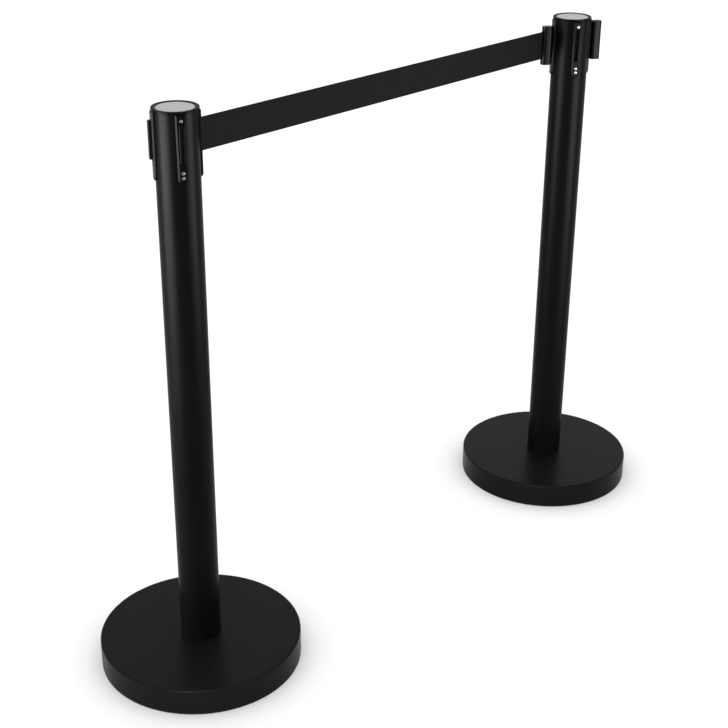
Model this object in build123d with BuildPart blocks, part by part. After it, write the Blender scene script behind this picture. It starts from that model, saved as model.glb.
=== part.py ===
from build123d import *

import os
from math import acos, atan2, cos, hypot, radians, sin, tau

# A pair of belt barrier posts, joined by the belt that one of them feeds out.
# Millimetres, +Z up. +X runs from the feed post to the receiver post, and the origin is on the
# floor, midway between the two posts.

os.makedirs("parts", exist_ok=True)

# The pair
POST_SPACING = 880.0
POST_HEIGHT = 900.0
FIT = 0.1  # gap between pieces that are fixed together

# Bearings of each post's four faces, in degrees anticlockwise from +X about its own axis
FEED_OUTLET = 334.0
RECEIVER_OUTLET = 326.5
FACES = {"outlet": 0.0, "back": 90.0, "left": 180.0, "front": 270.0}  # from the outlet's bearing

# Base
BASE_RADIUS = 160.0
BASE_HEIGHT = 43.5
COVER_WALL = 1.0
COVER_EDGE = 3.0
RING_FOOT = 2.0  # the floor ring's thickness under the cover's rim
RING_WIDTH = 12.8
RING_LIP_WALL = 1.9
RING_LIP_HEIGHT = 7.0
WEIGHT_RADIUS = 156.5

# Tube
TUBE_RADIUS = 31.75
TUBE_WALL = 1.2
TUBE_BOTTOM = 30.0
CAP_THICKNESS = 3.5
TUBE_TOP = POST_HEIGHT - CAP_THICKNESS
TUBE_BORE = TUBE_RADIUS - TUBE_WALL
FOOT_THICKNESS = 6.0
FOOT_BOSS_RADIUS = 12.0
FOOT_BOSS_HEIGHT = 14.0

# Base bolt
BOLT_RADIUS = 6.0
BOLT_HEAD_FLAT = 9.2  # half the size across the flats
BOLT_HEAD_HEIGHT = 7.5
BOLT_TOP = 47.0
WASHER_RADIUS = 24.0
WASHER_THICKNESS = 2.5
BOLT_POCKET_RADIUS = 28.0
BOLT_POCKET_TOP = 14.0

# Belt
BELT_WIDTH = 48.0
BELT_THICKNESS = 0.6
LOOP_THICKNESS = 0.8  # the sewn loop round a clip's pin
LOOP_WIDTH = 47.0
BELT_Z = 857.5  # the belt's middle where it leaves a post
CLIP_DROP = 7.0  # a latched clip stands this much lower
FEED_COIL_RADIUS = 16.5
RECEIVER_COIL_RADIUS = 20.0

# Faces: a slotted strip on the outside of the tube, held by three screws
STRIP_HALF = 6.8  # half its width at its lower end
STRIP_TOP_HALF = 7.8
STRIP_FACE = 34.6  # distance of its outer face from the post's axis
STRIP_BOTTOM = 798.0
STRIP_TOP = TUBE_TOP - 0.5
SLOT_HALF = 3.4
SLOT_BOTTOM = 828.0
SLOT_TOP = 882.5
SLOT_BEVEL = 0.9
STRIP_BEVEL = 2.0
WINDOW_MARGIN = 1.5  # the tube's window is this much taller than the slot, at each end
SCREW_HEIGHTS = (808.0, 815.0, 887.5)
SCREW_RADIUS = 1.45
SCREW_HEAD_RADIUS = 2.35
SCREW_CONE = 0.9
SCREW_TAPER = 45.0
SCREW_DOME = 0.2
DOME_TAPER = 75.0
RECESS_LENGTH = 2.8
RECESS_WIDTH = 0.8
RECESS_DEPTH = 0.8
SCREW_INNER = 25.0  # distance of its tip from the post's axis

# Cassette
HOUSING_RADIUS = 30.2
CHAMBER_RADIUS = 22.0
HOUSING_BOTTOM = 796.0
HOUSING_FLOOR = 4.0
HOUSING_TOP = 889.0
LID_THICKNESS = 3.5
POCKET_BACK = 23.6
POCKET_BOTTOM = 817.5
POCKET_TOP = 884.5
MOUTH_HALF = 6.2
MOUTH_DEPTH = 7.0
AXLE_RADIUS = 3.0
AXLE_CLEARANCE = 0.06
HUB_RADIUS = 8.5
ARBOR_RADIUS = 6.0
FLANGE_RADIUS = 21.2
FLANGE_THICKNESS = 2.0
LOW_FLANGE_Z = 830.5
HIGH_FLANGE_Z = 883.5
SPRING_BOTTOM = 804.0
SPRING_HEIGHT = 22.0
SPRING_THICKNESS = 0.4
SPRING_INNER = 7.0
SPRING_OUTER = 21.2
SPRING_TURNS = 8
GUIDE_RADIUS = 1.2
GUIDE_OUT = 25.0
BELT_SIDE = -2.3  # the belt runs this far beside a face's middle
GUIDE_GAP = 2.6  # from the belt's middle to each guide pin's
LID_SCREW_CIRCLE = 24.5
LID_SCREW_RADIUS = 1.1
LID_SCREW_HEAD = 1.9

# Cap
CAP_RADIUS = 33.5
CAP_SKIRT_INNER = 27.0
CAP_SKIRT_OUTER = 30.4
CAP_SKIRT_HEIGHT = 3.4
CAP_EDGE = 0.8
DISC_RADIUS = 27.2
DISC_THICKNESS = 1.2
DISC_BED = POST_HEIGHT - 2.0
CAP_BEVEL = 1.6

# Belt end clip, measured outwards from its inner face and sideways from its middle
CLIP_DEPTH = 18.5
CLIP_HALF = 7.2
CLIP_HEIGHT = 67.0
CLIP_NOSE_ROUND = 7.1
CLIP_BACK_ROUND = 6.0
CLIP_END_ROUND = 0.8
CLIP_WINDOW = 50.0
CHANNEL_SIDE = -1.5  # the belt's channel through the clip: its flat wall
CHANNEL_BACK = -3.4  # its far wall at the clip's inner face
CHANNEL_BACK_DEPTH = 1.5
CHANNEL_WIDE = -6.4  # its far wall beside the pin
CHANNEL_NOSE = (-2.6, 2.2)  # its two walls at the clip's nose
TONGUE_SIDES = (-1.2, 3.1)
TONGUE_REACH = 9.0
TONGUE_ROOT = 2.0
TONGUE_TOP = 24.0  # above the belt's middle
NECK_BOTTOM = -22.0
HOOK_BOTTOM = -28.5
HOOK_DEPTH = 3.5
PIN_OUT = 9.0
PIN_RADIUS = 1.25
PIN_SIDE = BELT_SIDE - PIN_RADIUS - FIT - LOOP_THICKNESS / 2
LATCHED_FACE = STRIP_FACE + 0.7  # distances of its inner face from the post's axis
PARKED_FACE = STRIP_FACE + 1.4

# Slot plug
PLUG_FACE = STRIP_FACE + 0.5
PLUG_OUTER = 39.1
PLUG_INNER = 28.0
PLUG_HALF = 4.0
PLUG_BOTTOM = 829.0
PLUG_TOP = 883.8
PLUG_CORNER = 1.4
PLUG_EDGE = 0.8
STEM_HALF = SLOT_HALF - 0.4
STEM_MARGIN = 2.4
GRIP_WIDTH = 2.4  # the groove down its face
GRIP_DEPTH = 1.4
GRIP_MARGIN = 2.0

feed_x = -POST_SPACING / 2
receiver_x = POST_SPACING / 2


def level(post_x, z):
    """A level plane at height z, centred on a post's axis."""
    return Plane(origin=(post_x, 0, z))


def outward(post_x, bearing, z):
    """A level plane whose X runs out from the post along the bearing."""
    a = radians(bearing)
    return Plane(origin=(post_x, 0, z), x_dir=(cos(a), sin(a), 0), z_dir=(0, 0, 1))


def facing(post_x, bearing, distance):
    """An upright plane facing out along the bearing, with its Y up from the floor."""
    a = radians(bearing)
    origin = (post_x + distance * cos(a), distance * sin(a), 0)
    return Plane(origin=origin, x_dir=(-sin(a), cos(a), 0), z_dir=(cos(a), sin(a), 0))


def upright(post_x):
    """The upright plane through a post's axis, for profiles that are revolved about it."""
    return Plane(origin=(post_x, 0, 0), x_dir=(1, 0, 0), z_dir=(0, -1, 0))


def axis_of(post_x):
    """A post's axis."""
    return Axis((post_x, 0, 0), (0, 0, 1))


def finish(piece, name):
    """Labels a finished piece and writes its file."""
    piece.part.label = name
    export_step(piece.part, f"parts/{name}.step")


def make_base(post, x):
    """The weighted base: cover, weight, floor ring, and the bolt that holds the tube's foot."""
    with BuildPart() as cover:
        with BuildSketch(level(x, RING_FOOT)):
            Circle(BASE_RADIUS)
        extrude(amount=BASE_HEIGHT - RING_FOOT)
        fillet(cover.edges().group_by(Axis.Z)[-1], COVER_EDGE)
        offset(amount=-COVER_WALL, openings=cover.faces().sort_by(Axis.Z)[0])
        with BuildSketch(level(x, BASE_HEIGHT)):
            Circle(TUBE_RADIUS + FIT)
        extrude(amount=-2 * COVER_WALL, mode=Mode.SUBTRACT)
    finish(cover, f"{post}_base_cover")

    with BuildPart() as weight:
        with BuildSketch(level(x, RING_FOOT)):
            Circle(WEIGHT_RADIUS)
        extrude(amount=BASE_HEIGHT - COVER_WALL - 2 * FIT - RING_FOOT)
        chamfer(weight.edges().group_by(Axis.Z)[-1], COVER_EDGE)
        with BuildSketch(level(x, TUBE_BOTTOM)):
            Circle(TUBE_RADIUS + 4 * FIT)
        extrude(amount=BASE_HEIGHT - TUBE_BOTTOM, mode=Mode.SUBTRACT)
        with BuildSketch(level(x, RING_FOOT)):
            Circle(BOLT_POCKET_RADIUS)
        extrude(amount=BOLT_POCKET_TOP - RING_FOOT, mode=Mode.SUBTRACT)
        with BuildSketch(level(x, RING_FOOT)):
            Circle(BOLT_RADIUS + 10 * FIT)
        extrude(amount=BASE_HEIGHT, mode=Mode.SUBTRACT)
    finish(weight, f"{post}_base_weight")

    rim = BASE_RADIUS - 2 * FIT
    lip_outer = BASE_RADIUS - COVER_WALL - 2 * FIT
    lip_inner = lip_outer - RING_LIP_WALL
    with BuildPart() as ring:
        with BuildSketch(upright(x)):
            with BuildLine():
                Polyline(
                    (rim - RING_WIDTH, 0),
                    (rim, 0),
                    (rim, RING_FOOT),
                    (lip_outer, RING_FOOT),
                    (lip_outer, RING_FOOT + RING_LIP_HEIGHT),
                    (lip_inner, RING_FOOT + RING_LIP_HEIGHT),
                    (lip_inner, RING_FOOT),
                    (rim - RING_WIDTH, RING_FOOT),
                    close=True,
                )
            make_face()
        revolve(axis=axis_of(x))
    finish(ring, f"{post}_floor_ring")

    with BuildPart() as foot:
        with BuildSketch(level(x, TUBE_BOTTOM)):
            Circle(TUBE_BORE - FIT)
        extrude(amount=FOOT_THICKNESS)
        with BuildSketch(level(x, TUBE_BOTTOM + FOOT_THICKNESS)):
            Circle(FOOT_BOSS_RADIUS)
        extrude(amount=FOOT_BOSS_HEIGHT)
        with BuildSketch(level(x, TUBE_BOTTOM)):
            Circle(BOLT_RADIUS + FIT)
        extrude(amount=FOOT_THICKNESS + FOOT_BOSS_HEIGHT, mode=Mode.SUBTRACT)
    finish(foot, f"{post}_tube_foot")

    with BuildPart() as washer:
        with BuildSketch(level(x, BOLT_POCKET_TOP - WASHER_THICKNESS)):
            Circle(WASHER_RADIUS)
            Circle(BOLT_RADIUS + 4 * FIT, mode=Mode.SUBTRACT)
        extrude(amount=WASHER_THICKNESS)
    finish(washer, f"{post}_base_washer")

    head_top = BOLT_POCKET_TOP - WASHER_THICKNESS
    with BuildPart() as bolt:
        with BuildSketch(level(x, head_top)):
            RegularPolygon(BOLT_HEAD_FLAT, 6, major_radius=False)
        extrude(amount=-BOLT_HEAD_HEIGHT)
        chamfer(bolt.edges().group_by(Axis.Z)[0], 0.8)
        with BuildSketch(level(x, head_top)):
            Circle(BOLT_RADIUS)
        extrude(amount=BOLT_TOP - head_top)
        chamfer(bolt.edges().group_by(Axis.Z)[-1], 1.0)
    finish(bolt, f"{post}_base_bolt")


def make_tube(post, x, bearings):
    """The post's tube, with a window and three screw holes behind each face."""
    slot_middle = (SLOT_BOTTOM + SLOT_TOP) / 2
    window_height = SLOT_TOP - SLOT_BOTTOM + 2 * WINDOW_MARGIN
    with BuildPart() as tube:
        with BuildSketch(level(x, TUBE_BOTTOM)):
            Circle(TUBE_RADIUS)
            Circle(TUBE_BORE, mode=Mode.SUBTRACT)
        extrude(amount=TUBE_TOP - TUBE_BOTTOM)
        for bearing in bearings.values():
            with BuildSketch(facing(x, bearing, TUBE_BORE - 2)):
                with Locations((0, slot_middle)):
                    RectangleRounded(2 * SLOT_HALF + 1, window_height, 1.5)
                with Locations([(0, z) for z in SCREW_HEIGHTS]):
                    Circle(SCREW_RADIUS + 2 * FIT)
            extrude(amount=TUBE_WALL + 4, mode=Mode.SUBTRACT)
    finish(tube, f"{post}_post_tube")


def make_faces(post, x, bearings):
    """The slotted strip on each face, and all of their screws in one node."""
    slot_middle = (SLOT_BOTTOM + SLOT_TOP) / 2
    for face, bearing in bearings.items():
        out = Axis((x, 0, 0), facing(x, bearing, 0).z_dir)
        with BuildPart() as strip:
            with BuildSketch(facing(x, bearing, TUBE_RADIUS - 2)):
                with BuildLine():
                    Polyline(
                        (-STRIP_HALF, STRIP_BOTTOM),
                        (STRIP_HALF, STRIP_BOTTOM),
                        (STRIP_TOP_HALF, STRIP_TOP),
                        (-STRIP_TOP_HALF, STRIP_TOP),
                        close=True,
                    )
                make_face()
            extrude(amount=STRIP_FACE - TUBE_RADIUS + 2)
            low = strip.edges().filter_by(out).group_by(Axis.Z)[0]
            fillet(low, STRIP_HALF - FIT)
            with BuildSketch(level(x, STRIP_BOTTOM - 1)):
                Circle(TUBE_RADIUS + FIT / 2)
            extrude(amount=STRIP_TOP - STRIP_BOTTOM + 2, mode=Mode.SUBTRACT)
            front = strip.faces().sort_by(out)[-1]
            chamfer(front.edges(), STRIP_BEVEL)
            with BuildSketch(facing(x, bearing, STRIP_FACE)):
                with Locations((0, slot_middle)):
                    Rectangle(2 * SLOT_HALF, SLOT_TOP - SLOT_BOTTOM)
            extrude(amount=TUBE_RADIUS - STRIP_FACE - 2, mode=Mode.SUBTRACT)
            front = strip.faces().sort_by(out)[-1]
            chamfer(front.inner_wires()[0].edges(), SLOT_BEVEL)
            with BuildSketch(facing(x, bearing, STRIP_FACE)):
                with Locations([(0, z) for z in SCREW_HEIGHTS]):
                    Circle(SCREW_RADIUS + FIT)
            extrude(amount=TUBE_RADIUS - STRIP_FACE - 2, mode=Mode.SUBTRACT)
            with BuildSketch(facing(x, bearing, STRIP_FACE)):
                with Locations([(0, z) for z in SCREW_HEIGHTS]):
                    Circle(SCREW_HEAD_RADIUS + FIT)
            extrude(amount=-SCREW_CONE, taper=SCREW_TAPER, mode=Mode.SUBTRACT)
        finish(strip, f"{post}_{face}_bracket")

    with BuildPart() as screws:
        for bearing in bearings.values():
            face = facing(x, bearing, STRIP_FACE)
            sites = [(0, z) for z in SCREW_HEIGHTS]
            with BuildSketch(face):
                with Locations(sites):
                    Circle(SCREW_RADIUS)
            extrude(amount=SCREW_INNER - STRIP_FACE)
            with BuildSketch(face):
                with Locations(sites):
                    Circle(SCREW_HEAD_RADIUS)
            extrude(amount=-SCREW_CONE, taper=SCREW_TAPER)
            with BuildSketch(face):
                with Locations(sites):
                    Circle(SCREW_HEAD_RADIUS)
            extrude(amount=SCREW_DOME, taper=DOME_TAPER)
            with BuildSketch(face.offset(SCREW_DOME)):
                with Locations(sites):
                    Rectangle(RECESS_LENGTH, RECESS_WIDTH)
                    Rectangle(RECESS_WIDTH, RECESS_LENGTH)
            extrude(amount=-RECESS_DEPTH, mode=Mode.SUBTRACT)
    finish(screws, f"{post}_bracket_screws")


def make_cassette(post, x, bearings, coil_radius):
    """The spring cassette in the tube's head: housing, lid, spool, axle, spring and coil."""
    outlet = bearings["outlet"]
    pocket_middle = (POCKET_BOTTOM + POCKET_TOP) / 2
    pocket_height = POCKET_TOP - POCKET_BOTTOM
    guides = [(GUIDE_OUT, BELT_SIDE - GUIDE_GAP), (GUIDE_OUT, BELT_SIDE + GUIDE_GAP)]
    mouth = outward(x, outlet, LOW_FLANGE_Z + FLANGE_THICKNESS)
    with BuildPart() as housing:
        with BuildSketch(level(x, HOUSING_BOTTOM)):
            Circle(HOUSING_RADIUS)
        extrude(amount=HOUSING_TOP - HOUSING_BOTTOM)
        with BuildSketch(level(x, HOUSING_BOTTOM + HOUSING_FLOOR)):
            Circle(CHAMBER_RADIUS)
        extrude(amount=HOUSING_TOP - HOUSING_BOTTOM, mode=Mode.SUBTRACT)
        for bearing in bearings.values():
            with BuildSketch(facing(x, bearing, POCKET_BACK)):
                with Locations((0, pocket_middle)):
                    Rectangle(2 * SLOT_HALF + 1, pocket_height)
            extrude(amount=HOUSING_RADIUS, mode=Mode.SUBTRACT)
            with BuildSketch(facing(x, bearing, HOUSING_RADIUS)):
                with Locations([(0, z) for z in SCREW_HEIGHTS]):
                    Circle(SCREW_RADIUS + FIT)
            extrude(amount=SCREW_INNER - HOUSING_RADIUS - 1, mode=Mode.SUBTRACT)
        with BuildSketch(mouth):
            with Locations((GUIDE_OUT - 1.5, BELT_SIDE)):
                Rectangle(MOUTH_DEPTH, 2 * MOUTH_HALF)
        extrude(amount=HIGH_FLANGE_Z - LOW_FLANGE_Z - FLANGE_THICKNESS, mode=Mode.SUBTRACT)
        with BuildSketch(mouth.offset(-3)):
            with Locations(guides):
                Circle(GUIDE_RADIUS + FIT)
        extrude(amount=HIGH_FLANGE_Z - LOW_FLANGE_Z + 3, mode=Mode.SUBTRACT)
        with BuildSketch(level(x, HOUSING_BOTTOM)):
            Circle(AXLE_RADIUS + FIT / 2)
        extrude(amount=HOUSING_FLOOR, mode=Mode.SUBTRACT)
        with BuildSketch(outward(x, outlet, HOUSING_TOP)):
            with PolarLocations(LID_SCREW_CIRCLE, 4, start_angle=45):
                Circle(LID_SCREW_RADIUS + FIT)
        extrude(amount=-8, mode=Mode.SUBTRACT)
    finish(housing, f"{post}_cassette_housing")

    with BuildPart() as lid:
        with BuildSketch(outward(x, outlet, HOUSING_TOP)):
            Circle(HOUSING_RADIUS)
            Circle(AXLE_RADIUS + FIT / 2, mode=Mode.SUBTRACT)
            with PolarLocations(LID_SCREW_CIRCLE, 4, start_angle=45):
                Circle(LID_SCREW_RADIUS + FIT, mode=Mode.SUBTRACT)
        extrude(amount=LID_THICKNESS)
    finish(lid, f"{post}_cassette_lid")

    with BuildPart() as lid_screws:
        with BuildSketch(outward(x, outlet, HOUSING_TOP + LID_THICKNESS)):
            with PolarLocations(LID_SCREW_CIRCLE, 4, start_angle=45):
                Circle(LID_SCREW_HEAD)
        extrude(amount=1.2)
        with BuildSketch(outward(x, outlet, HOUSING_TOP + LID_THICKNESS)):
            with PolarLocations(LID_SCREW_CIRCLE, 4, start_angle=45):
                Circle(LID_SCREW_RADIUS)
        extrude(amount=-LID_THICKNESS - 7)
    finish(lid_screws, f"{post}_lid_screws")

    with BuildPart() as axle:
        with BuildSketch(level(x, HOUSING_BOTTOM + 0.5)):
            Circle(AXLE_RADIUS)
        extrude(amount=HOUSING_TOP + LID_THICKNESS - HOUSING_BOTTOM - 1)
        chamfer(axle.edges(), 0.4)
    finish(axle, f"{post}_spool_axle")

    with BuildPart() as spool:
        with BuildSketch(level(x, HOUSING_BOTTOM + HOUSING_FLOOR + 1)):
            Circle(ARBOR_RADIUS)
        extrude(amount=LOW_FLANGE_Z - HOUSING_BOTTOM - HOUSING_FLOOR - 1)
        with BuildSketch(level(x, LOW_FLANGE_Z)):
            Circle(HUB_RADIUS)
        extrude(amount=HIGH_FLANGE_Z - LOW_FLANGE_Z)
        for z in (LOW_FLANGE_Z, HIGH_FLANGE_Z):
            with BuildSketch(level(x, z)):
                Circle(FLANGE_RADIUS)
            extrude(amount=FLANGE_THICKNESS)
        with BuildSketch(level(x, HOUSING_BOTTOM)):
            Circle(AXLE_RADIUS + AXLE_CLEARANCE)
        extrude(amount=HOUSING_TOP - HOUSING_BOTTOM, mode=Mode.SUBTRACT)
    finish(spool, f"{post}_spool")

    with BuildPart() as coil:
        with BuildSketch(level(x, BELT_Z - BELT_WIDTH / 2)):
            Circle(coil_radius)
            Circle(HUB_RADIUS + FIT, mode=Mode.SUBTRACT)
        extrude(amount=BELT_WIDTH)
    finish(coil, f"{post}_belt_coil")

    with BuildPart() as spring:
        with BuildSketch(level(x, SPRING_BOTTOM)):
            with BuildLine():
                inside = Spline(*spiral(-SPRING_THICKNESS / 2))
                outside = Spline(*spiral(SPRING_THICKNESS / 2))
                Line(inside @ 0, outside @ 0)
                Line(inside @ 1, outside @ 1)
            make_face()
        extrude(amount=SPRING_HEIGHT)
    finish(spring, f"{post}_retract_spring")

    with BuildPart() as pins:
        with BuildSketch(mouth.offset(-2.5)):
            with Locations(guides):
                Circle(GUIDE_RADIUS)
        extrude(amount=HIGH_FLANGE_Z - LOW_FLANGE_Z + 2)
    finish(pins, f"{post}_belt_guides")


def spiral(shift):
    """Points along the flat spiral spring, shifted outwards from its middle line."""
    steps = SPRING_TURNS * 12
    points = []
    for i in range(steps + 1):
        share = i / steps
        radius = SPRING_INNER + (SPRING_OUTER - SPRING_INNER) * share + shift
        turn = tau * SPRING_TURNS * share
        points.append((radius * cos(turn), radius * sin(turn)))
    return points


def make_cap(post, x):
    """The cap ring that closes the tube, and the plain disc set into it."""
    with BuildPart() as cap:
        with BuildSketch(upright(x)):
            with BuildLine():
                Polyline(
                    (0, TUBE_TOP),
                    (CAP_SKIRT_INNER, TUBE_TOP),
                    (CAP_SKIRT_INNER, TUBE_TOP - CAP_SKIRT_HEIGHT),
                    (CAP_SKIRT_OUTER, TUBE_TOP - CAP_SKIRT_HEIGHT),
                    (CAP_SKIRT_OUTER, TUBE_TOP),
                    (CAP_RADIUS, TUBE_TOP),
                    (CAP_RADIUS, POST_HEIGHT),
                    (DISC_RADIUS + FIT + CAP_BEVEL, POST_HEIGHT),
                    (DISC_RADIUS + FIT, DISC_BED + DISC_THICKNESS),
                    (DISC_RADIUS + FIT, DISC_BED),
                    (0, DISC_BED),
                    close=True,
                )
            make_face()
        revolve(axis=axis_of(x))
        rim = cap.edges().filter_by(GeomType.CIRCLE).filter_by(lambda e: e.radius > CAP_RADIUS - 0.01)
        fillet(rim, CAP_EDGE)
    finish(cap, f"{post}_cap_ring")

    with BuildPart() as disc:
        with BuildSketch(level(x, DISC_BED)):
            Circle(DISC_RADIUS)
        extrude(amount=DISC_THICKNESS)
        chamfer(disc.edges().group_by(Axis.Z)[-1], 0.3)
    finish(disc, f"{post}_cap_disc")


def make_clip(name, x, bearing, face, belt_z):
    """A belt end clip, with the pin that the belt's end is looped round."""
    bottom = belt_z - CLIP_HEIGHT / 2
    nose = face + CLIP_DEPTH
    side_low, side_high = TONGUE_SIDES
    with BuildPart() as clip:
        with BuildSketch(outward(x, bearing, bottom)) as outline:
            with Locations(((face + nose) / 2, 0)):
                Rectangle(CLIP_DEPTH, 2 * CLIP_HALF)
            fillet(outline.vertices().group_by(Axis.X)[-1], CLIP_NOSE_ROUND)
            fillet(outline.vertices().group_by(Axis.X)[0], CLIP_BACK_ROUND)
        extrude(amount=CLIP_HEIGHT)
        ends = clip.faces().filter_by(Axis.Z)
        fillet(ends.edges(), CLIP_END_ROUND)
        with BuildSketch(outward(x, bearing, belt_z - CLIP_WINDOW / 2)):
            with BuildLine():
                Polyline(
                    (face - 1, CHANNEL_BACK),
                    (face + CHANNEL_BACK_DEPTH, CHANNEL_BACK),
                    (face + CLIP_BACK_ROUND, CHANNEL_WIDE),
                    (nose - CLIP_NOSE_ROUND, CHANNEL_WIDE),
                    (nose + 1, CHANNEL_NOSE[0]),
                    (nose + 1, CHANNEL_NOSE[1]),
                    (face + PIN_OUT + PIN_RADIUS, CHANNEL_SIDE),
                    (face - 1, CHANNEL_SIDE),
                    close=True,
                )
            make_face()
        extrude(amount=CLIP_WINDOW, mode=Mode.SUBTRACT)
        with BuildSketch(outward(x, bearing, belt_z + NECK_BOTTOM)):
            with Locations((face + (TONGUE_ROOT - TONGUE_REACH) / 2, (side_low + side_high) / 2)):
                Rectangle(TONGUE_REACH + TONGUE_ROOT, side_high - side_low)
        extrude(amount=TONGUE_TOP - NECK_BOTTOM)
        with BuildSketch(outward(x, bearing, belt_z + HOOK_BOTTOM)):
            with Locations((face - TONGUE_REACH + HOOK_DEPTH / 2, (side_low + side_high) / 2)):
                Rectangle(HOOK_DEPTH, side_high - side_low)
        extrude(amount=NECK_BOTTOM - HOOK_BOTTOM)
        with BuildSketch(outward(x, bearing, bottom)):
            with Locations((face + PIN_OUT, PIN_SIDE)):
                Circle(PIN_RADIUS + FIT / 2)
        extrude(amount=CLIP_HEIGHT, mode=Mode.SUBTRACT)
    finish(clip, f"{name}_clip")

    with BuildPart() as pin:
        with BuildSketch(outward(x, bearing, bottom + 0.5)):
            with Locations((face + PIN_OUT, PIN_SIDE)):
                Circle(PIN_RADIUS)
        extrude(amount=CLIP_HEIGHT - 1)
        chamfer(pin.edges(), 0.3)
    finish(pin, f"{name}_clip_pin")


def tangent_point(start, centre, radius, side):
    """Where a line from start touches a circle, on its left (+1) or right (-1) as seen from start."""
    away = start - centre
    spread = acos(radius / away.length)
    turn = atan2(away.Y, away.X) - side * spread
    return centre + Vector(radius * cos(turn), radius * sin(turn))


def belt_lead(x, outlet, coil_radius):
    """The belt's first two points: just off its coil, and between the guide pins."""
    plane = outward(x, outlet, 0)
    guide = plane.from_local_coords(Vector(GUIDE_OUT, BELT_SIDE))
    off_coil = tangent_point(guide, Vector(x, 0), coil_radius + BELT_THICKNESS, 1)
    return [off_coil, guide]


def make_belt(name, points, pin, end_z):
    """A belt that stands on edge along the points, and is looped round the clip's pin."""
    heights = [BELT_Z] * (len(points) - 1) + [end_z]
    runs = [(b - a).normalized() for a, b in zip(points, points[1:])]
    with BuildPart() as belt:
        for i, (point, z) in enumerate(zip(points, heights)):
            before, after = runs[max(i - 1, 0)], runs[min(i, len(runs) - 1)]
            along = (before + after).normalized()
            mitre = BELT_THICKNESS / along.dot(after)
            section = Plane((point.X, point.Y, z), x_dir=(-along.Y, along.X, 0), z_dir=along)
            with BuildSketch(section):
                Rectangle(mitre, BELT_WIDTH)
        loft(ruled=True)
        with BuildSketch(Plane(origin=(pin.X, pin.Y, end_z - LOOP_WIDTH / 2))):
            Circle(PIN_RADIUS + FIT + LOOP_THICKNESS)
            Circle(PIN_RADIUS + FIT, mode=Mode.SUBTRACT)
        extrude(amount=LOOP_WIDTH)
    finish(belt, name)
    lengths = [hypot(b.X - a.X, b.Y - a.Y) for a, b in zip(points, points[1:])]
    print(name, "runs", [round(n, 1) for n in lengths], "total", round(sum(lengths), 1))


def make_plug(name, x, bearing):
    """A push-in plug that closes an unused slot."""
    middle = (PLUG_BOTTOM + PLUG_TOP) / 2
    height = PLUG_TOP - PLUG_BOTTOM
    out = Axis((x, 0, 0), facing(x, bearing, 0).z_dir)
    with BuildPart() as plug:
        with BuildSketch(facing(x, bearing, PLUG_FACE)):
            with Locations((0, middle)):
                RectangleRounded(2 * PLUG_HALF, height, PLUG_CORNER)
        extrude(amount=PLUG_OUTER - PLUG_FACE)
        fillet(plug.faces().sort_by(out)[-1].edges(), PLUG_EDGE)
        with BuildSketch(facing(x, bearing, PLUG_OUTER)):
            with Locations((0, middle)):
                Rectangle(GRIP_WIDTH, height - 2 * GRIP_MARGIN)
        extrude(amount=-GRIP_DEPTH, mode=Mode.SUBTRACT)
        with BuildSketch(facing(x, bearing, PLUG_FACE)):
            with Locations((0, (SLOT_BOTTOM + SLOT_TOP) / 2)):
                Rectangle(2 * STEM_HALF, height - 2 * STEM_MARGIN)
        extrude(amount=PLUG_INNER - PLUG_FACE)
    finish(plug, name)


posts = {
    "feed": (feed_x, FEED_OUTLET, FEED_COIL_RADIUS),
    "receiver": (receiver_x, RECEIVER_OUTLET, RECEIVER_COIL_RADIUS),
}
bearings_of = {}
for post, (x, outlet, coil_radius) in posts.items():
    bearings = {face: (outlet + turn) % 360 for face, turn in FACES.items()}
    bearings_of[post] = bearings
    make_base(post, x)
    make_tube(post, x, bearings)
    make_faces(post, x, bearings)
    make_cassette(post, x, bearings, coil_radius)
    make_cap(post, x)

# The feed post's belt, latched into the receiver post's left face
latched_z = BELT_Z - CLIP_DROP
latched_bearing = bearings_of["receiver"]["left"]
make_clip("latched", receiver_x, latched_bearing, LATCHED_FACE, latched_z)
pin_at = outward(receiver_x, latched_bearing, 0).from_local_coords(
    Vector(LATCHED_FACE + PIN_OUT, PIN_SIDE)
)
wrap_radius = PIN_RADIUS + FIT + LOOP_THICKNESS / 2
lead = belt_lead(feed_x, FEED_OUTLET, FEED_COIL_RADIUS)
pin_touch = tangent_point(lead[-1], pin_at, wrap_radius, 1)
make_belt("belt_span", lead + [pin_touch], pin_at, latched_z)

# The receiver post's own belt, drawn in until its clip rests on the outlet
make_clip("parked", receiver_x, RECEIVER_OUTLET, PARKED_FACE, BELT_Z)
parked = outward(receiver_x, RECEIVER_OUTLET, 0)
pin_at = parked.from_local_coords(Vector(PARKED_FACE + PIN_OUT, PIN_SIDE))
pin_touch = parked.from_local_coords(Vector(PARKED_FACE + PIN_OUT, PIN_SIDE + wrap_radius))
lead = belt_lead(receiver_x, RECEIVER_OUTLET, RECEIVER_COIL_RADIUS)
make_belt("parked_belt", lead + [pin_touch], pin_at, BELT_Z)

# The feed post's two closed slots
for face in ("left", "front"):
    make_plug(f"{face}_slot_plug", feed_x, bearings_of["feed"][face])
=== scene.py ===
import math

import bmesh
import bpy
from mathutils import Matrix, Vector


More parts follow.
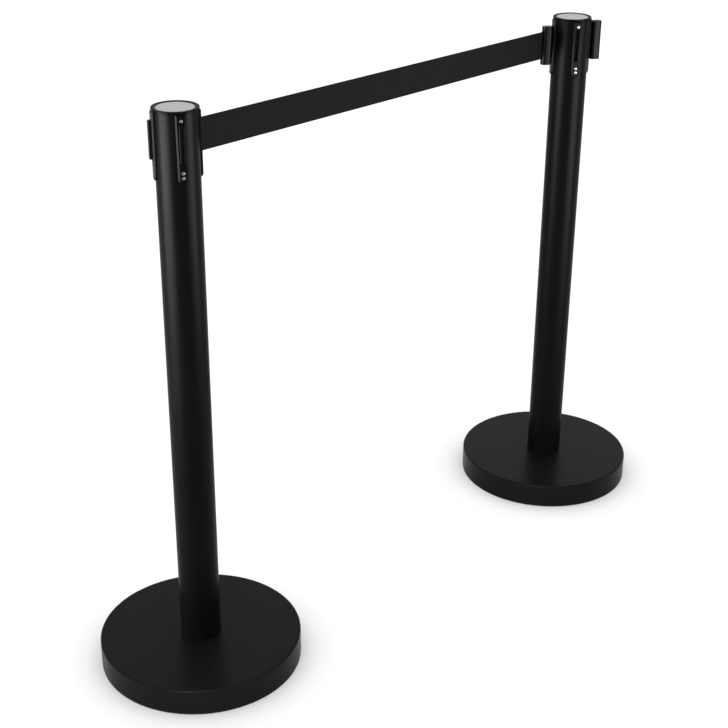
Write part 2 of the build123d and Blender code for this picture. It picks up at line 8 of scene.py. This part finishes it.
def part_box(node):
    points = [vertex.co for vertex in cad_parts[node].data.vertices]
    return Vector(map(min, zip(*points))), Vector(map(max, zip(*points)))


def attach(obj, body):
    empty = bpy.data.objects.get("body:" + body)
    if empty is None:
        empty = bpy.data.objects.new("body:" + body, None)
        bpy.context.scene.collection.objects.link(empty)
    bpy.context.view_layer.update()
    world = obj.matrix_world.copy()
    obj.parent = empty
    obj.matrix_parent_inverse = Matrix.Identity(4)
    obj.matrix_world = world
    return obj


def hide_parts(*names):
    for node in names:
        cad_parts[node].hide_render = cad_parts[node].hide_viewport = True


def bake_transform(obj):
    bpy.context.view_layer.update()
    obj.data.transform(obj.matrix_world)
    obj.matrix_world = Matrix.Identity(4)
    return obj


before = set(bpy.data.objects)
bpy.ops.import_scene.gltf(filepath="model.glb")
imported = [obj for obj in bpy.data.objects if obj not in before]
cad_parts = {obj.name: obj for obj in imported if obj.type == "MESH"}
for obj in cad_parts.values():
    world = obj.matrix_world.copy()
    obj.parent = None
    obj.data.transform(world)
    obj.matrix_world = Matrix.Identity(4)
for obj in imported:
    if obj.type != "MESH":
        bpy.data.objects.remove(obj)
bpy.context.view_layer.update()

# ---- Sizes, in metres, in the same frame as the CAD ----

MM = 0.001
FEED_X = sum(c.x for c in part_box("feed_post_tube")) / 2
RECEIVER_X = sum(c.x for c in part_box("receiver_post_tube")) / 2
FEED_OUTLET = math.radians(334.0)
RECEIVER_OUTLET = math.radians(326.5)
LATCHED_BEARING = RECEIVER_OUTLET - math.pi

# The belt's course
BELT_WIDTH = 48 * MM
BELT_Z = 857.5 * MM  # the belt's middle where it leaves a post
CLIP_DROP = 7 * MM  # how much lower the latched clip sits
BELT_SIDE = -2.3 * MM  # the belt runs this far beside a face's middle
GUIDE_OUT = 25 * MM  # the guide pins' distance from the post's axis
GUIDE_BEND = 4 * MM  # the belt's bend between them
SLOPE_START = 15 * MM  # the belt is level this far past the guides
SLOPE_END = 10 * MM  # and this far short of the clip's pin
END_LENGTH = 70 * MM  # the stretch that lifts with the latched clip

# The clips' pins, and the belt's end round them
LATCHED_FACE = 35.3 * MM  # the clips' backs, from the post's axis
PARKED_FACE = 36 * MM
PIN_OUT = 9 * MM  # from a clip's back to its pin
PIN_SIDE = -4.05 * MM
PIN_WRAP = 1.62 * MM  # from the pin's middle to the belt's, where it goes round
WRAP_ANGLE = math.radians(200)
TAIL = 20 * MM  # the belt's end, sewn back on itself
PARKED_TAIL = 7 * MM
TAIL_START = 0.6 * MM  # the tail starts this far behind the pin
TAIL_GAP = 0.72 * MM  # between the middles of the belt and its tail
TAIL_EASE = 3.2  # the tail is down on the belt after 1 part in this many

# The belt wound on each reel
COIL_HUB = 8.9 * MM
FEED_COIL = 16.2 * MM
RECEIVER_COIL = 19.7 * MM
COIL_PITCH = 0.5 * MM  # from one turn of wound belt to the next
COIL_CLEAR = 0.6 * MM  # the belt leaves this far outside its coil

# The webbing
WEB_HALF = 0.26 * MM  # half the webbing's thickness
WOUND_HALF = 0.235 * MM  # and where it is wound tight
SELVEDGE_HALF = 0.4 * MM  # and along its two woven edges
SELVEDGE_TIP = 0.04 * MM  # and at their tips
SELVEDGE = 2.4 * MM  # a woven edge's width
SELVEDGE_FLAT = 1.6 * MM  # up to where it thins
YARN_PITCH = 1.3 * MM
WARP_PITCH = 0.9 * MM
PANEL = 4 * MM  # the width of a herringbone panel
PANEL_SEAM = 0.35 * MM
PLY_PITCH = 0.5 * MM  # of the sewing thread

STITCH_ROWS = (7 * MM, 11 * MM)  # back from the pin
STITCHES = 16
STITCH_PITCH = 2.7 * MM
STITCH_HALF = (0.17 * MM, 0.13 * MM, 0.46 * STITCH_PITCH)

# How finely the webbing is divided
STEP = 3 * MM  # between the belt's cross-sections
EDGE_PARTS = 6
FACE_PARTS = 12
WRAP_PARTS = 19
TAIL_PARTS = 13
TURN_PARTS = 40


# ---- Materials ----


class Recipe:
    """One procedural material: a Principled shader and short calls that add nodes in front of it."""

    def __init__(self, name, **constants):
        self.material = bpy.data.materials.new(name)
        self.material.use_nodes = True
        self.tree = self.material.node_tree
        self.shader = self.tree.nodes["Principled BSDF"]
        for socket, value in constants.items():
            self.shader.inputs[socket.replace("_", " ")].default_value = value
        self.place = self.node("TexCoord").outputs["Object"]

    def node(self, kind, inputs=None, **settings):
        made = self.tree.nodes.new("ShaderNode" + kind)
        for key, value in settings.items():
            setattr(made, key, value)
        for socket, value in (inputs or {}).items():
            self.feed(made.inputs[socket], value)
        return made

    def feed(self, socket, value):
        if isinstance(value, bpy.types.NodeSocket):
            self.tree.links.new(value, socket)
        else:
            socket.default_value = value

    def set(self, socket, value):
        self.feed(self.shader.inputs[socket], value)

    def math(self, operation, *values):
        return self.node("Math", dict(enumerate(values)), operation=operation).outputs[0]

    def weighted(self, *terms):
        """The sum of some values, each times its weight."""
        first, *others = [self.math("MULTIPLY", value, weight) for value, weight in terms]
        for other in others:
            first = self.math("ADD", first, other)
        return first

    def wave(self, value, pitch):
        """A sine from -1 to 1, with its pitch in metres."""
        return self.math("SINE", self.math("MULTIPLY", value, math.tau / pitch))

    def along(self, direction):
        """How far each point lies along a direction, in metres."""
        inputs = {0: self.place, 1: direction}
        return self.node("VectorMath", inputs, operation="DOT_PRODUCT").outputs["Value"]

    def stretched(self, x, y, z):
        return self.node("Mapping", {"Vector": self.place, "Scale": (x, y, z)}).outputs[0]

    def noise(self, scale, detail=3.0, roughness=0.55, vector=None, distortion=0.0):
        inputs = {
            "Vector": vector or self.place,
            "Scale": scale,
            "Detail": detail,
            "Roughness": roughness,
            "Distortion": distortion,
        }
        return self.node("TexNoise", inputs).outputs[0]

    def cells(self, scale):
        return self.node("TexVoronoi", {"Vector": self.place, "Scale": scale}).outputs["Distance"]

    def levels(self, value, low, high, to_low=0.0, to_high=1.0):
        """Turns low to high into to_low to to_high, smoothly, and holds beyond them."""
        inputs = dict(enumerate((value, low, high, to_low, to_high)))
        return self.node("MapRange", inputs, interpolation_type="SMOOTHSTEP").outputs[0]

    def blend(self, share, under, over):
        """One colour over another, each a socket or its red, green and blue."""
        made = self.node("Mix", {0: share}, data_type="RGBA")
        for i, colour in ((6, under), (7, over)):
            plain = isinstance(colour, tuple)
            self.feed(made.inputs[i], (*colour, 1.0) if plain else colour)
        return made.outputs[2]

    def bump(self, height, distance, strength=1.0):
        """Adds relief: height from 0 to 1 stands distance metres proud. A second call adds to the first."""
        made = self.node("Bump", {"Height": height, "Distance": distance, "Strength": strength})
        last = self.shader.inputs["Normal"]
        if last.links:
            self.tree.links.new(last.links[0].from_socket, made.inputs["Normal"])
        self.tree.links.new(made.outputs[0], last)


def powder_coat(name, specular, dark, light):
    """Satin black powder coat on steel: fine orange peel, faint handling marks and settled dust."""
    r = Recipe(name, Specular_IOR_Level=specular)
    cloud = r.noise(9.0, 4.0)
    grain = r.noise(1400.0, 2.0)
    specks = r.levels(r.noise(260.0, 5.0, 0.7), 0.66, 0.78)
    dust = r.math("MULTIPLY", specks, r.levels(cloud, 0.45, 0.7))
    coat = r.blend(cloud, dark, light)
    r.set("Base Color", r.blend(r.math("MULTIPLY", dust, 0.22), coat, (0.03, 0.029, 0.027)))
    rub = r.levels(r.noise(30.0, 6.0, 0.65, r.stretched(1, 1, 0.12)), 0.35, 0.7, 0.0, 0.07)
    satin = r.math("ADD", 0.32, rub)
    r.set("Roughness", r.math("ADD", satin, r.math("MULTIPLY", dust, 0.2)))
    r.bump(r.noise(420.0, 2.0, 0.4), 0.06 * MM, 0.6)
    r.bump(grain, 0.02 * MM, 0.5)
    return r.material


def moulded_plastic(name, colour, roughness, specular=0.09):
    """Moulded plastic with a fine spark-eroded grain and faint flow lines."""
    r = Recipe(name, Specular_IOR_Level=specular)
    flow = r.noise(60.0, 4.0, 0.5, r.stretched(1, 1, 0.2), 0.6)
    lighter = tuple(c * 1.5 + 0.0003 for c in colour)
    r.set("Base Color", r.blend(flow, colour, lighter))
    r.set("Roughness", r.levels(flow, 0.3, 0.7, roughness - 0.04, roughness + 0.06))
    r.bump(r.cells(1500.0), 0.03 * MM, 0.5)
    r.bump(r.noise(220.0, 2.0), 0.04 * MM, 0.3)
    return r.material


def turned_steel(name, colour, roughness, scale=900.0):
    """Zinc-plated or bare steel: fine drawn lines, cloudy plating, and a few dull spots."""
    r = Recipe(name, Metallic=1.0)
    cloud = r.noise(90.0, 4.0, 0.6)
    lines = r.noise(scale, 2.0, 0.5, r.stretched(0.15, 0.15, 1.0))
    spots = r.levels(r.noise(500.0, 3.0), 0.62, 0.74)
    darker = tuple(c * 0.78 for c in colour)
    plating = r.blend(cloud, darker, colour)
    r.set("Base Color", r.blend(r.math("MULTIPLY", spots, 0.3), plating, (0.2, 0.19, 0.17)))
    r.set("Roughness", r.levels(cloud, 0.3, 0.7, roughness - 0.05, roughness + 0.1))
    r.bump(lines, 0.02 * MM, 0.6)
    return r.material


def spun_disc(name, centre_x):
    """A spun light metal disc: fine rings round the post's axis, with a soft warm tone."""
    r = Recipe(name, Metallic=0.55)
    moved = r.node("VectorMath", {0: r.place, 1: (centre_x, 0, 0)}, operation="SUBTRACT")
    flat = r.node("VectorMath", {0: moved.outputs[0], 1: (1, 1, 0)}, operation="MULTIPLY")
    away = r.node("VectorMath", {0: flat.outputs[0]}, operation="LENGTH").outputs["Value"]
    ring_inputs = {"W": away, "Scale": 5200.0, "Detail": 2.0}
    rings = r.node("TexNoise", ring_inputs, noise_dimensions="1D").outputs[0]
    cloud = r.noise(70.0, 4.0, 0.6)
    tone = r.weighted((rings, 0.5), (cloud, 0.5))
    r.set("Base Color", r.blend(tone, (0.33, 0.325, 0.315), (0.45, 0.445, 0.43)))
    r.set("Roughness", r.levels(cloud, 0.3, 0.7, 0.38, 0.5))
    r.bump(rings, 0.012 * MM, 0.5)
    return r.material


def black_rubber():
    """Matt black rubber with a dusty bloom."""
    r = Recipe("black_rubber", Specular_IOR_Level=0.1)
    bloom = r.noise(45.0, 5.0, 0.65)
    r.set("Base Color", r.blend(bloom, (0.0025, 0.0025, 0.0026), (0.007, 0.0069, 0.0067)))
    r.set("Roughness", r.levels(bloom, 0.3, 0.7, 0.68, 0.85))
    r.bump(r.noise(900.0, 3.0), 0.06 * MM, 0.6)
    return r.material


def cast_cement():
    """Grey cement with sand grain and small air holes, painted darker inside as painted shade."""
    r = Recipe("cast_cement", Specular_IOR_Level=0.3, Roughness=0.9)
    cloud = r.noise(22.0, 6.0, 0.65)
    sand = r.noise(900.0, 4.0, 0.7)
    around = r.levels(r.cells(160.0), 0.06, 0.16)  # 0 in an air hole, 1 around it
    tone = r.weighted((cloud, 0.6), (sand, 0.4))
    cement = r.blend(tone, (0.23, 0.225, 0.21), (0.42, 0.41, 0.385))
    # The air holes get a dark colour: painted shade inside them, on top of their bump.
    r.set("Base Color", r.blend(r.math("SUBTRACT", 1.0, around), cement, (0.1, 0.097, 0.09)))
    r.bump(around, 0.8 * MM)
    r.bump(sand, 0.2 * MM, 0.8)
    return r.material


def webbing(name, direction, across):
    """Black polyester webbing: herringbone panels of fine twill, with painted shade in the weave's grooves
    and panel seams.
    """
    r = Recipe(name, Specular_IOR_Level=0.045, Sheen_Weight=0.008, Sheen_Roughness=0.5)
    u = r.along(direction)
    v = r.along(across)
    panel = r.math("PINGPONG", v, PANEL)
    yarn = r.wave(r.math("ADD", u, panel), YARN_PITCH)
    warp = r.wave(v, WARP_PITCH)
    weave = r.math("ADD", r.weighted((yarn, 0.33), (warp, 0.17)), 0.5)
    # The panel seams are lower and, through the colour below, darker: relief and painted shade in the seam.
    seam = r.levels(panel, 0.0, PANEL_SEAM)
    relief = r.math("MULTIPLY", weave, r.math("ADD", 0.6, r.math("MULTIPLY", seam, 0.4)))
    fuzz = r.noise(2600.0, 2.0, 0.6)
    shade = r.noise(35.0, 4.0, 0.6)
    # The colour follows the weave's relief, so its grooves carry painted shade and its raised yarns are
    # lighter; the shade noise adds a random tone.
    tone = r.weighted((relief, 0.6), (shade, 0.4))
    r.set("Base Color", r.blend(tone, (0.0008, 0.0008, 0.0009), (0.0034, 0.0034, 0.0036)))
    r.set("Roughness", r.levels(fuzz, 0.3, 0.7, 0.62, 0.8))
    r.bump(relief, 0.16 * MM, 0.8)
    r.bump(fuzz, 0.04 * MM, 0.5)
    return r.material


def wound_webbing(name, centre_x):
    """The same webbing where it is wound on a reel, with its yarns round the post's axis and painted shade
    in the weave's grooves.
    """
    r = Recipe(name, Specular_IOR_Level=0.1, Sheen_Weight=0.05, Sheen_Roughness=0.5)
    x = r.math("SUBTRACT", r.along((1, 0, 0)), centre_x)
    y = r.along((0, 1, 0))
    z = r.along((0, 0, 1))
    away = r.math("SQRT", r.math("ADD", r.math("MULTIPLY", x, x), r.math("MULTIPLY", y, y)))
    u = r.math("MULTIPLY", r.math("ARCTAN2", y, x), away)
    yarn = r.wave(r.math("ADD", u, r.math("PINGPONG", z, PANEL)), YARN_PITCH)
    relief = r.math("ADD", r.math("MULTIPLY", yarn, 0.5), 0.5)
    # The colour follows the yarns' relief: painted shade in the grooves between them.
    r.set("Base Color", r.blend(relief, (0.003, 0.003, 0.0032), (0.0095, 0.0095, 0.01)))
    r.set("Roughness", r.levels(r.noise(2600.0, 2.0, 0.6), 0.3, 0.7, 0.62, 0.8))
    r.bump(relief, 0.12 * MM, 0.8)
    return r.material


def sewing_thread():
    """Bonded black polyester thread, with its two plies and painted shade in the groove between them."""
    r = Recipe("sewing_thread", Specular_IOR_Level=0.25)
    ply = r.wave(r.along((0.6, 0.6, 1.0)), PLY_PITCH)
    share = r.math("ADD", r.math("MULTIPLY", ply, 0.5), 0.5)
    # The colour follows the plies' relief: painted shade where they meet.
    r.set("Base Color", r.blend(share, (0.008, 0.008, 0.008), (0.022, 0.022, 0.023)))
    r.set("Roughness", r.levels(r.noise(1800.0), 0.3, 0.7, 0.45, 0.6))
    r.bump(share, 0.04 * MM, 0.6)
    return r.material


post_coat = powder_coat("powder_coat", 0.031, (0.0006, 0.0006, 0.0007), (0.0013, 0.0013, 0.0014))
base_coat = powder_coat("base_powder_coat", 0.048, (0.003, 0.003, 0.0031), (0.005, 0.005, 0.0052))
clip_plastic = moulded_plastic("clip_plastic", (0.0008, 0.0008, 0.0009), 0.24, 0.045)
cap_plastic = moulded_plastic("cap_plastic", (0.0007, 0.0007, 0.0008), 0.3, 0.02)
cassette_plastic = moulded_plastic("cassette_plastic", (0.008, 0.008, 0.0085), 0.5)
spool_plastic = moulded_plastic("spool_plastic", (0.48, 0.48, 0.45), 0.45, 0.5)
zinc = turned_steel("zinc_steel", (0.62, 0.63, 0.64), 0.34)
bright_steel = turned_steel("bright_steel", (0.62, 0.62, 0.63), 0.2)
screw_steel = turned_steel("screw_steel", (0.2, 0.2, 0.205), 0.24)
spring_steel = turned_steel("spring_steel", (0.36, 0.38, 0.42), 0.3, 1400.0)
rubber = black_rubber()
cement = cast_cement()

ON_EACH_POST = {
    "base_cover": base_coat,
    "post_tube": post_coat,
    "outlet_bracket": post_coat,
    "front_bracket": post_coat,
    "left_bracket": post_coat,
    "back_bracket": post_coat,
    "base_weight": cement,
    "floor_ring": rubber,
    "tube_foot": zinc,
    "base_bolt": zinc,
    "base_washer": zinc,
    "bracket_screws": screw_steel,
    "lid_screws": bright_steel,
    "spool_axle": bright_steel,
    "belt_guides": bright_steel,
    "retract_spring": spring_steel,
    "cassette_housing": cassette_plastic,
    "cassette_lid": cassette_plastic,
    "spool": spool_plastic,
    "cap_ring": cap_plastic,
}
SINGLE = {
    "latched_clip": clip_plastic,
    "parked_clip": clip_plastic,
    "left_slot_plug": clip_plastic,
    "front_slot_plug": clip_plastic,
    "latched_clip_pin": bright_steel,
    "parked_clip_pin": bright_steel,
}


def paint(node, material):
    """Gives a CAD node its detailed material."""
    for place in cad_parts[node].material_slots:
        place.material = material


for post, x in (("feed", FEED_X), ("receiver", RECEIVER_X)):
    for piece, material in ON_EACH_POST.items():
        paint(f"{post}_{piece}", material)
    paint(f"{post}_cap_disc", spun_disc(f"{post}_spun_disc", x))
for piece, material in SINGLE.items():
    paint(piece, material)


# ---- Webbing ----


def unit(angle):
    """A level direction, from its bearing in radians."""
    return Vector((math.cos(angle), math.sin(angle)))


def bearing_of(direction):
    return math.atan2(direction.y, direction.x)


def from_post(post_x, bearing, out, side):
    """A level point that lies out along a bearing from a post's axis, and side to its left."""
    return Vector((post_x, 0)) + out * unit(bearing) + side * unit(bearing + math.pi / 2)


def touch(start, centre, radius):
    """Where a line from start touches a circle, with the circle on the line's right."""
    away = start - centre
    return centre + radius * unit(bearing_of(away) - math.acos(radius / away.length))


def web_profile():
    """Half of the webbing's cross-section: (across, half thickness), from edge to edge."""
    half = BELT_WIDTH / 2
    inner = half - SELVEDGE
    edge = [(-half, SELVEDGE_TIP)]
    for i in reversed(range(EDGE_PARTS)):
        a = math.pi / 2 * i / EDGE_PARTS
        edge.append((-half + SELVEDGE_HALF * (1 - math.sin(a)), SELVEDGE_HALF * math.cos(a)))
    edge.append((-half + SELVEDGE_FLAT, SELVEDGE_HALF))
    face = [(-inner + 2 * inner * i / FACE_PARTS, WEB_HALF) for i in range(FACE_PARTS + 1)]
    return edge + face + mirrored(edge)


def mirrored(rows):
    return [(-across, thick) for across, thick in reversed(rows)]


def ribbon(name, points, heights, profile, material):
    """A closed strip of webbing that stands on edge along level points, with its middle at the heights."""
    shape = bmesh.new()
    rings = []
    for i, (p, z) in enumerate(zip(points, heights)):
        a, b = points[max(i - 1, 0)], points[min(i + 1, len(points) - 1)]
        along = (b - a).normalized()
        side = Vector((-along.y, along.x))
        ring = []
        for sign, rows in ((1, profile), (-1, profile[::-1])):
            for across, thick in rows:
                q = p + side * (sign * thick)
                ring.append(shape.verts.new((q.x, q.y, z + across)))
        rings.append(ring)
    count = len(rings[0])
    for one, two in zip(rings, rings[1:]):
        for i in range(count):
            j = (i + 1) % count
            shape.faces.new((one[i], one[j], two[j], two[i]))
    shape.faces.new(rings[0][::-1])
    shape.faces.new(rings[-1])
    bmesh.ops.recalc_face_normals(shape, faces=shape.faces)
    return piece_of(name, shape, material)


def piece_of(name, shape, material, sharp=50):
    """Turns a bmesh into a smooth-shaded piece, with its edges over the sharp angle kept sharp."""
    mesh = bpy.data.meshes.new(name)
    shape.to_mesh(mesh)
    shape.free()
    mesh.materials.append(material)
    mesh.shade_smooth()
    mesh.set_sharp_from_angle(angle=math.radians(sharp))
    made = bpy.data.objects.new(name, mesh)
    bpy.context.scene.collection.objects.link(made)
    return made


def spaced(start, end):
    """Points from start to just before end, about a step apart."""
    count = max(1, round((end - start).length / STEP))
    return [start.lerp(end, i / count) for i in range(count)]


def rounded(points, radius, parts=6):
    """The same level points with each inner corner replaced by a short arc."""
    made = [points[0]]
    for a, b, c in zip(points, points[1:], points[2:]):
        before, after = (a - b).normalized(), (c - b).normalized()
        reach = min(radius, (a - b).length * 0.45, (c - b).length * 0.45)
        for i in range(parts + 1):
            t = i / parts
            p, q = b + before * reach * (1 - t), b + after * reach * t
            made.append(p.lerp(q, t))
    return made + [points[-1]]


def off_reel(coil, guide, end):
    """The belt's course off its coil, bent between the guides, and in even steps to end."""
    bent = rounded([coil, guide, end], GUIDE_BEND)
    return bent[:-1] + spaced(bent[-2], end)[1:] + [end]


def right_of(direction):
    return Vector((direction.y, -direction.x))


def pin_loop(pin, start, direction, tail):
    """The belt's end: round the pin, which is on the belt's right, and back along itself for the tail."""
    begin = bearing_of(start - pin)
    points = [pin + PIN_WRAP * unit(begin - WRAP_ANGLE * i / WRAP_PARTS) for i in range(1, WRAP_PARTS)]
    loop_gap = 2 * PIN_WRAP
    for i in range(TAIL_PARTS + 1):
        t = i / TAIL_PARTS
        ease = min(1.0, t * TAIL_EASE)
        ease = ease * ease * (3 - 2 * ease)
        gap = loop_gap + (TAIL_GAP - loop_gap) * ease
        points.append(start - direction * (TAIL_START + tail * t) + right_of(direction) * gap)
    return points


def wound(centre, outer, leave):
    """A flat spiral from the hub out to where the belt leaves the coil."""
    turns = (outer - COIL_HUB) / COIL_PITCH
    end = bearing_of(leave - centre)
    count = round(turns * TURN_PARTS)
    points = []
    for i in range(count + 1):
        radius = COIL_HUB + (outer - COIL_HUB) * i / count
        points.append(centre + radius * unit(end - math.tau * turns * (1 - i / count)))
    return points


def run_length(points):
    """The length of a line through level points."""
    return sum((b - a).length for a, b in zip(points, points[1:]))


def stitches(name, start, direction, z, slope, material):
    """Two rows of lock stitch across the belt's sewn end, on both faces."""
    shape = bmesh.new()
    turned = Matrix.Rotation(bearing_of(direction), 4, "Z") @ Matrix.Diagonal((*STITCH_HALF, 1))
    for row in STITCH_ROWS:
        for face in (-WEB_HALF, TAIL_GAP + WEB_HALF):
            at = start - direction * row + right_of(direction) * face
            for i in range(STITCHES):
                up = (i - (STITCHES - 1) / 2) * STITCH_PITCH
                matrix = Matrix.Translation((at.x, at.y, z - slope * row + up)) @ turned
                bmesh.ops.create_uvsphere(shape, u_segments=8, v_segments=6, radius=1, matrix=matrix)
    return piece_of(name, shape, material)


def height_at(x, span):
    """The stretched belt's middle height at x: it runs down evenly from the outlet to the clip."""
    (x0, z0), (x1, z1) = span
    share = min(1.0, max(0.0, (x - x0) / (x1 - x0)))
    return z0 + (z1 - z0) * share


belt_profile = web_profile()
wound_edge = [(-BELT_WIDTH / 2, WOUND_HALF / 2), (-BELT_WIDTH / 2 + WOUND_HALF, WOUND_HALF)]
wound_profile = wound_edge + mirrored(wound_edge)
thread = sewing_thread()

# The feed post's belt: off its coil, between the guides, and across to the receiver post
outlet_guide = from_post(FEED_X, FEED_OUTLET, GUIDE_OUT, BELT_SIDE)
off_coil = touch(outlet_guide, Vector((FEED_X, 0)), FEED_COIL + COIL_CLEAR)
pin = from_post(RECEIVER_X, LATCHED_BEARING, LATCHED_FACE + PIN_OUT, PIN_SIDE)
pin_touch = touch(outlet_guide, pin, PIN_WRAP)
run = (pin_touch - outlet_guide).normalized()
joint_at = pin_touch - run * END_LENGTH
slope_from, slope_to = outlet_guide.x + SLOPE_START, pin_touch.x - SLOPE_END
slope = -CLIP_DROP / (slope_to - slope_from)
span = ((slope_from, BELT_Z), (slope_to, BELT_Z - CLIP_DROP))
black_web = webbing("belt_webbing_weave", (*run, slope), (-slope * run.x, -slope * run.y, 1.0))

main_path = off_reel(off_coil, outlet_guide, joint_at)
main_heights = [height_at(p.x, span) for p in main_path]
belt = ribbon("belt_webbing", main_path, main_heights, belt_profile, black_web)

end_path = spaced(joint_at, pin_touch) + [pin_touch] + pin_loop(pin, pin_touch, run, TAIL)
end_heights = [height_at(p.x, span) for p in end_path]
belt_end = ribbon("belt_end_webbing", end_path, end_heights, belt_profile, black_web)
end_thread = stitches("belt_end_stitches", pin_touch, run, BELT_Z - CLIP_DROP, slope, thread)

# The receiver post's own belt, drawn in behind its parked clip
parked_guide = from_post(RECEIVER_X, RECEIVER_OUTLET, GUIDE_OUT, BELT_SIDE)
parked_off = touch(parked_guide, Vector((RECEIVER_X, 0)), RECEIVER_COIL + COIL_CLEAR)
parked_pin = from_post(RECEIVER_X, RECEIVER_OUTLET, PARKED_FACE + PIN_OUT, PIN_SIDE)
parked_touch = touch(parked_guide, parked_pin, PIN_WRAP)
out = (parked_touch - parked_guide).normalized()
parked_web = webbing("parked_webbing_weave", (*out, 0), (0, 0, 1.0))
parked_path = off_reel(parked_off, parked_guide, parked_touch)
parked_path += pin_loop(parked_pin, parked_touch, out, PARKED_TAIL)
parked_heights = [BELT_Z] * len(parked_path)
parked = ribbon("parked_webbing", parked_path, parked_heights, belt_profile, parked_web)

# The belt wound on each reel
reels = (("feed", FEED_X, FEED_COIL, off_coil), ("receiver", RECEIVER_X, RECEIVER_COIL, parked_off))
coils = {}
for post, x, outer, leave in reels:
    turns = wound(Vector((x, 0)), outer, leave)
    weave = wound_webbing(f"{post}_wound_weave", x)
    coil = ribbon(f"{post}_wound_belt", turns, [BELT_Z] * len(turns), wound_profile, weave)
    coils[post] = (coil, run_length(turns))


# ---- Floor, light and camera ----

FLOOR_SIZE = 60
FLOOR_Z = -0.5 * MM  # just clear of the posts' rubber rings
FOCAL_LENGTH = 70.61  # in mm, on a sensor 36 mm wide
CAMERA_PLACE = (FEED_X - 1.16776, -1.52344, 1.40464)
CAMERA_HEADING = -0.7893  # in radians, from +Y
CAMERA_TILT = 1.1337  # from straight down
CAMERA_ROLL = 0.0071


def collection_of(name, shapes):
    """A collection for light linking, which isn't in the scene itself."""
    made = bpy.data.collections.new(name)
    for shape in shapes:
        made.objects.link(shape)
    return made


def softbox(name, place, target, size, power, receivers):
    """A soft area light, which lights only what its receivers include or don't exclude."""
    light = bpy.data.lights.new(name, "AREA")
    light.shape = "RECTANGLE"
    light.size, light.size_y = size
    light.energy = power
    lamp = bpy.data.objects.new(name, light)
    lamp.location = place
    lamp.rotation_euler = (Vector(target) - Vector(place)).to_track_quat("-Z", "Y").to_euler()
    lamp.light_linking.receiver_collection = receivers
    bpy.context.scene.collection.objects.link(lamp)


world = bpy.data.worlds.new("studio")
world.use_nodes = True
background = world.node_tree.nodes["Background"].inputs
background["Color"].default_value = (1.0, 1.0, 1.0, 1.0)
background["Strength"].default_value = 1.0
bpy.context.scene.world = world
bpy.context.scene.view_settings.view_transform = "Standard"

bpy.ops.mesh.primitive_plane_add(size=FLOOR_SIZE, location=(0, 0, FLOOR_Z))
floor = bpy.context.object
floor.name = "studio_floor"
pale = bpy.data.materials.new("pale_floor")
pale.use_nodes = True
pale_shader = pale.node_tree.nodes["Principled BSDF"].inputs
pale_shader["Base Color"].default_value = (0.9, 0.9, 0.9, 1)
pale_shader["Roughness"].default_value = 0.9
pale_shader["Specular IOR Level"].default_value = 0.2
floor.data.materials.append(pale)

overhead = bpy.data.lights.new("overhead", "SUN")
overhead.energy = 0.75
overhead.angle = math.radians(110)
overhead_lamp = bpy.data.objects.new("overhead", overhead)
overhead_lamp.rotation_euler = (math.radians(8), math.radians(-14), 0)
bpy.context.scene.collection.objects.link(overhead_lamp)

# Two large boxes for the posts, flagged off the floor and the bases, and a small one for the bases' rims
base_covers = [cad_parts[f"{post}_base_cover"] for post in ("feed", "receiver")]
flagged = collection_of("flagged", [floor, *base_covers])
for entry in flagged.collection_objects:
    entry.light_linking.link_state = "EXCLUDE"
rims = collection_of("base_covers", base_covers)
softbox("left_box", (-2.0, 0.4, 0.52), (FEED_X, 0, 0.45), (1.35, 1.0), 140, flagged)
softbox("right_box", (0.5, -1.5, 0.52), (0, 0, 0.45), (1.0, 1.0), 56, flagged)
softbox("rim_box", (-2.6, -1.6, 0.75), (FEED_X, 0, 0.04), (0.5, 0.5), 75, rims)

camera = bpy.data.cameras.new("camera")
camera.lens = FOCAL_LENGTH
camera.sensor_width = 36
view_from = bpy.data.objects.new("camera", camera)
turns = ((CAMERA_HEADING, "Z"), (CAMERA_TILT, "X"), (CAMERA_ROLL, "Z"))
heading, tilt, roll = (Matrix.Rotation(angle, 4, axis) for angle, axis in turns)
view_from.matrix_world = Matrix.Translation(CAMERA_PLACE) @ heading @ tilt @ roll
bpy.context.scene.collection.objects.link(view_from)
bpy.context.scene.camera = view_from

# ---- Riding and soft pieces ----

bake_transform(belt)
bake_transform(belt_end)
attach(end_thread, "latched_end")
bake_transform(parked)
for post, (coil, length) in coils.items():
    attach(coil, f"{post}_reel")
    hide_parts(f"{post}_belt_coil")
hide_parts("belt_span")
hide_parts("parked_belt")
